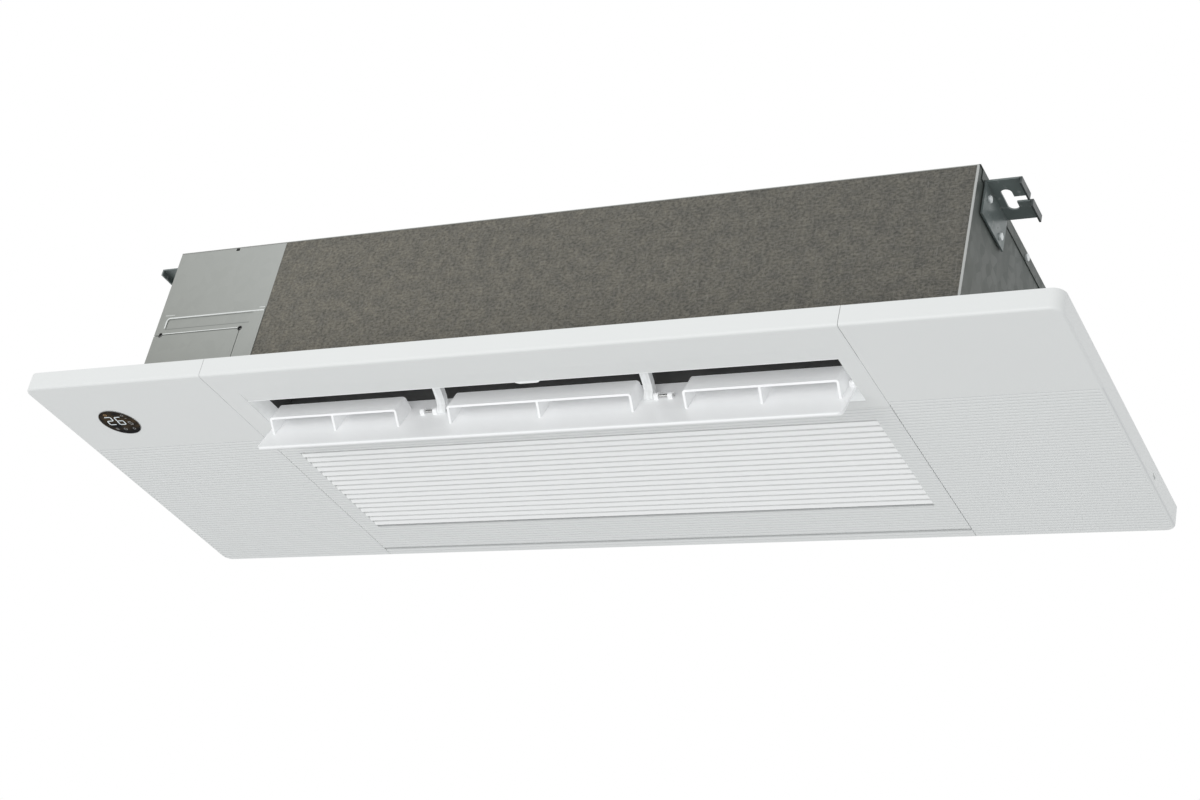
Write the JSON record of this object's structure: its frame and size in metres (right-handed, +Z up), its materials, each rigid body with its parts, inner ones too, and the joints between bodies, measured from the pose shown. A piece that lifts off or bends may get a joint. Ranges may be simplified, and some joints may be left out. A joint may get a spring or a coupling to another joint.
{
  "type": "ceiling cassette air conditioner",
  "caption": "Slim ceiling cassette air conditioner with a long decor panel, swinging outlet flap, slatted intake grille and a sheet-metal body above.",
  "frame": {"origin": "middle of the decor panel on the finished ceiling's underside", "axes": "+X along the panel towards the motor end, -Y towards the side the air is blown to, +Z up into the ceiling void"},
  "size_m": [1.2, 0.413, 0.2481],
  "materials": {
    "panel_white": "satin",
    "grille_white": "satin",
    "flap_white": "satin",
    "frame_plastic": "matt",
    "display_gloss": "high gloss",
    "dark_plastic": "matt",
    "galvanised": "zinc coated",
    "side_steel": "zinc coated",
    "bracket_steel": "chromated",
    "felt_grey": "fibrous",
    "foam_dark": "foamed",
    "foam_white": "foamed",
    "fan_plastic": "matt",
    "steel": "ground",
    "fin_aluminium": "rolled",
    "copper": "drawn copper",
    "nut_brass": "turned",
    "bronze": "sintered",
    "filter_plastic": "matt",
    "filter_net": "woven",
    "board_green": "lacquered",
    "terminal_cream": "matt",
    "grommet_rubber": "matt"
  },
  "bodies": {
    "cassette_body": {"left_end_cover": "panel_white", "right_end_cover": "panel_white", "front_trim": "panel_white", "rear_trim": "panel_white", "panel_frame": "frame_plastic", "push_latches": "dark_plastic", "display_lens": "display_gloss", "display_module": "dark_plastic", "flap_arms": "flap_white", "flap_motor": "dark_plastic", "air_duct": "dark_plastic", "vane_motor": "dark_plastic", "top_plate": "galvanised", "front_plate": "galvanised", "front_felt": "felt_grey", "rear_plate": "galvanised", "right_side_plate": "side_steel", "left_side_plate": "galvanised", "left_front_cover": "galvanised", "foam_liner": "foam_dark", "scroll_casing": "foam_white", "drain_pan": "foam_white", "partitions": "galvanised", "fan_motor": "galvanised", "motor_bracket": "galvanised", "fan_bearing": "bronze", "evaporator_fins": "fin_aluminium", "evaporator_tubes": "copper", "refrigerant_pipes": "copper", "flare_nuts": "nut_brass", "pump_sump": "foam_white", "drain_pump": "dark_plastic", "drain_spout": "dark_plastic", "control_box": "galvanised", "control_lid": "galvanised", "main_board": "board_green", "terminal_block": "terminal_cream", "cable_grommet": "grommet_rubber", "hanger_brackets": "bracket_steel", "body_screws": "steel"},
    "flap": {"flap": "flap_white", "flap_pins": "steel"},
    "grille": {"grille_door": "grille_white", "filter_frame": "filter_plastic", "filter_mesh": "filter_net"},
    "fan": {"fan_rotor": "fan_plastic", "fan_shafts": "steel"},
    "impeller": {"pump_impeller": "frame_plastic"},
    "float": {"pump_float": "foam_white"},
    "crank": {"vane_crank": "steel"},
    "link": {"vane_link": "frame_plastic"},
    "vane_1": {"vane_1": "dark_plastic"},
    "vane_2": {"vane_2": "dark_plastic"},
    "vane_3": {"vane_3": "dark_plastic"},
    "vane_4": {"vane_4": "dark_plastic"},
    "vane_5": {"vane_5": "dark_plastic"},
    "vane_6": {"vane_6": "dark_plastic"},
    "vane_7": {"vane_7": "dark_plastic"},
    "vane_8": {"vane_8": "dark_plastic"}
  },
  "joints": [
    {"name": "flap_hinge", "type": "hinge", "parent": "cassette_body", "child": "flap", "pos_m": [0, -0.0995, -0.017], "axis": [1, 0, 0], "range_deg": [-66, 12]},
    {"name": "grille_hinge", "type": "hinge", "parent": "cassette_body", "child": "grille", "pos_m": [0, 0.188, -0.0185], "axis": [1, 0, 0], "range_deg": [0, 85]},
    {"name": "fan_spin", "type": "hinge", "parent": "cassette_body", "child": "fan", "pos_m": [0, -0.052, 0.105], "axis": [1, 0, 0], "continuous": true},
    {"name": "vane_swing_1", "type": "hinge", "parent": "cassette_body", "child": "vane_1", "pos_m": [-0.2715, -0.12, 0.05], "axis": [0, 1, 0], "range_deg": [-30, 30]},
    {"name": "link_travel", "type": "slide", "parent": "cassette_body", "child": "link", "axis": [1, 0, 0], "range_m": [-0.0075, 0.0075]},
    {"name": "crank_swing", "type": "hinge", "parent": "cassette_body", "child": "crank", "pos_m": [0.357, -0.12, 0.05], "axis": [0, 1, 0], "range_deg": [-30, 30]},
    {"name": "impeller_spin", "type": "hinge", "parent": "cassette_body", "child": "impeller", "pos_m": [-0.415, 0.088, 0.06], "axis": [0, 0, 1], "continuous": true},
    {"name": "float_travel", "type": "slide", "parent": "cassette_body", "child": "float", "axis": [0, 0, 1], "range_m": [0, 0.01]},
    {"name": "vane_swing_2", "type": "hinge", "parent": "cassette_body", "child": "vane_2", "pos_m": [-0.1875, -0.12, 0.05], "axis": [0, 1, 0], "range_deg": [-30, 30]},
    {"name": "vane_swing_3", "type": "hinge", "parent": "cassette_body", "child": "vane_3", "pos_m": [-0.1035, -0.12, 0.05], "axis": [0, 1, 0], "range_deg": [-30, 30]},
    {"name": "vane_swing_4", "type": "hinge", "parent": "cassette_body", "child": "vane_4", "pos_m": [-0.0195, -0.12, 0.05], "axis": [0, 1, 0], "range_deg": [-30, 30]},
    {"name": "vane_swing_5", "type": "hinge", "parent": "cassette_body", "child": "vane_5", "pos_m": [0.0645, -0.12, 0.05], "axis": [0, 1, 0], "range_deg": [-30, 30]},
    {"name": "vane_swing_6", "type": "hinge", "parent": "cassette_body", "child": "vane_6", "pos_m": [0.1485, -0.12, 0.05], "axis": [0, 1, 0], "range_deg": [-30, 30]},
    {"name": "vane_swing_7", "type": "hinge", "parent": "cassette_body", "child": "vane_7", "pos_m": [0.2325, -0.12, 0.05], "axis": [0, 1, 0], "range_deg": [-30, 30]},
    {"name": "vane_swing_8", "type": "hinge", "parent": "cassette_body", "child": "vane_8", "pos_m": [0.3165, -0.12, 0.05], "axis": [0, 1, 0], "range_deg": [-30, 30]}
  ],
  "couplings": [
    {"joint": "link_travel", "follows": "vane_swing_1", "m_per_rad": 0.014},
    {"joint": "crank_swing", "follows": "vane_swing_1", "ratio": 1},
    {"joint": "vane_swing_2", "follows": "vane_swing_1", "ratio": 1},
    {"joint": "vane_swing_3", "follows": "vane_swing_1", "ratio": 1},
    {"joint": "vane_swing_4", "follows": "vane_swing_1", "ratio": 1},
    {"joint": "vane_swing_5", "follows": "vane_swing_1", "ratio": 1},
    {"joint": "vane_swing_6", "follows": "vane_swing_1", "ratio": 1},
    {"joint": "vane_swing_7", "follows": "vane_swing_1", "ratio": 1},
    {"joint": "vane_swing_8", "follows": "vane_swing_1", "ratio": 1}
  ]
}
